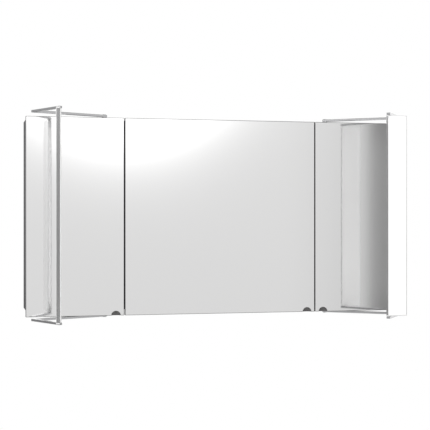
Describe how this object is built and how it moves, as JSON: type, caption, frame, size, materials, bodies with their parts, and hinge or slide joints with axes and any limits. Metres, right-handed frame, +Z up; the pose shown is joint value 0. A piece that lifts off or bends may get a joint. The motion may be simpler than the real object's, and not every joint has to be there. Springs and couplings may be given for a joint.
{
  "type": "mirror cabinet",
  "caption": "Wide wall-hung bathroom cabinet with mirror doors, half-moon finger notches, glass shelves, and swivelling lamp panels on swinging bracket rods at both sides.",
  "frame": {"origin": "on the wall plane, at the middle of the wall rail's screw holes", "axes": "+X to the viewer's right, +Y into the wall, +Z up"},
  "size_m": [1.4, 0.4497, 0.728],
  "materials": {
    "melamine": "satin",
    "back_board": "satin",
    "door_board": "satin",
    "mirror": "polished",
    "glass": "polished",
    "steel": "satin",
    "chrome": "polished",
    "aluminium": "satin",
    "diffuser": "matt",
    "white_plastic": "gloss",
    "grey_plastic": "matt",
    "led_board": "matt",
    "rubber": "matt",
    "nylon": "matt"
  },
  "bodies": {
    "cabinet": {"side_left": "melamine", "side_right": "melamine", "top_panel": "melamine", "bottom_panel": "melamine", "partition_left": "melamine", "partition_right": "melamine", "back_panel": "back_board", "shelf_pins": "steel", "carcass_screws": "steel", "bumpers": "rubber", "shelves_left": "glass", "shelves_middle": "glass", "shelves_right": "glass", "hinge_plates_outer": "steel", "hinge_plates_middle": "steel", "hinge_arms": "steel", "hinge_screws": "steel", "wall_rail": "steel", "hanger_bodies": "grey_plastic", "hanger_hooks": "steel", "pivot_bosses_top": "chrome", "pivot_bosses_bottom": "chrome", "pivot_pins_top": "chrome", "pivot_pins_bottom": "chrome", "driver_box": "grey_plastic", "switch_plate": "white_plastic"},
    "door_left": {"door_left_core": "door_board", "door_left_mirror": "mirror", "door_left_inner_mirror": "mirror", "door_left_cups": "steel"},
    "door_middle": {"door_middle_core": "door_board", "door_middle_mirror": "mirror", "door_middle_inner_mirror": "mirror", "door_middle_cups": "steel"},
    "door_right": {"door_right_core": "door_board", "door_right_mirror": "mirror", "door_right_inner_mirror": "mirror", "door_right_cups": "steel"},
    "wing_left": {"wing_left_rod_top": "chrome", "wing_left_rod_bottom": "chrome", "wing_left_axle": "chrome", "wing_left_washers": "nylon"},
    "lamp_left": {"lamp_left_tray": "aluminium", "lamp_left_diffuser": "diffuser", "lamp_left_led_boards": "led_board", "lamp_left_end_caps": "aluminium"},
    "wing_right": {"wing_right_rod_top": "chrome", "wing_right_rod_bottom": "chrome", "wing_right_axle": "chrome", "wing_right_washers": "nylon"},
    "lamp_right": {"lamp_right_tray": "aluminium", "lamp_right_diffuser": "diffuser", "lamp_right_led_boards": "led_board", "lamp_right_end_caps": "aluminium"},
    "switch_rocker": {"rocker": "white_plastic"}
  },
  "joints": [
    {"name": "left_door_hinge", "type": "hinge", "parent": "cabinet", "child": "door_left", "pos_m": [-0.7, -0.174, -0.634], "axis": [0, 0, -1], "range_deg": [0, 52]},
    {"name": "middle_door_hinge", "type": "hinge", "parent": "cabinet", "child": "door_middle", "pos_m": [-0.352, -0.174, -0.634], "axis": [0, 0, -1], "range_deg": [0, 100]},
    {"name": "right_door_hinge", "type": "hinge", "parent": "cabinet", "child": "door_right", "pos_m": [0.7, -0.174, -0.634], "axis": [0, 0, 1], "range_deg": [0, 52]},
    {"name": "left_bracket_swing", "type": "hinge", "parent": "cabinet", "child": "wing_left", "pos_m": [-0.417, -0.101, -0.634], "axis": [0, 0, 1], "range_deg": [-25.5, 0]},
    {"name": "right_bracket_swing", "type": "hinge", "parent": "cabinet", "child": "wing_right", "pos_m": [0.417, -0.101, -0.634], "axis": [0, 0, -1], "range_deg": [-36, 0]},
    {"name": "left_lamp_swivel", "type": "hinge", "parent": "wing_left", "child": "lamp_left", "pos_m": [-0.60247, -0.38113, -0.634], "axis": [0, 0, 1], "range_deg": [-111, 28]},
    {"name": "right_lamp_swivel", "type": "hinge", "parent": "wing_right", "child": "lamp_right", "pos_m": [0.54831, -0.41024, -0.634], "axis": [0, 0, -1], "range_deg": [-24, 116]},
    {"name": "switch_rock", "type": "hinge", "parent": "cabinet", "child": "switch_rocker", "pos_m": [0.368, -0.085, -0.037], "axis": [0, 1, 0], "range_deg": [-6, 6]}
  ]
}
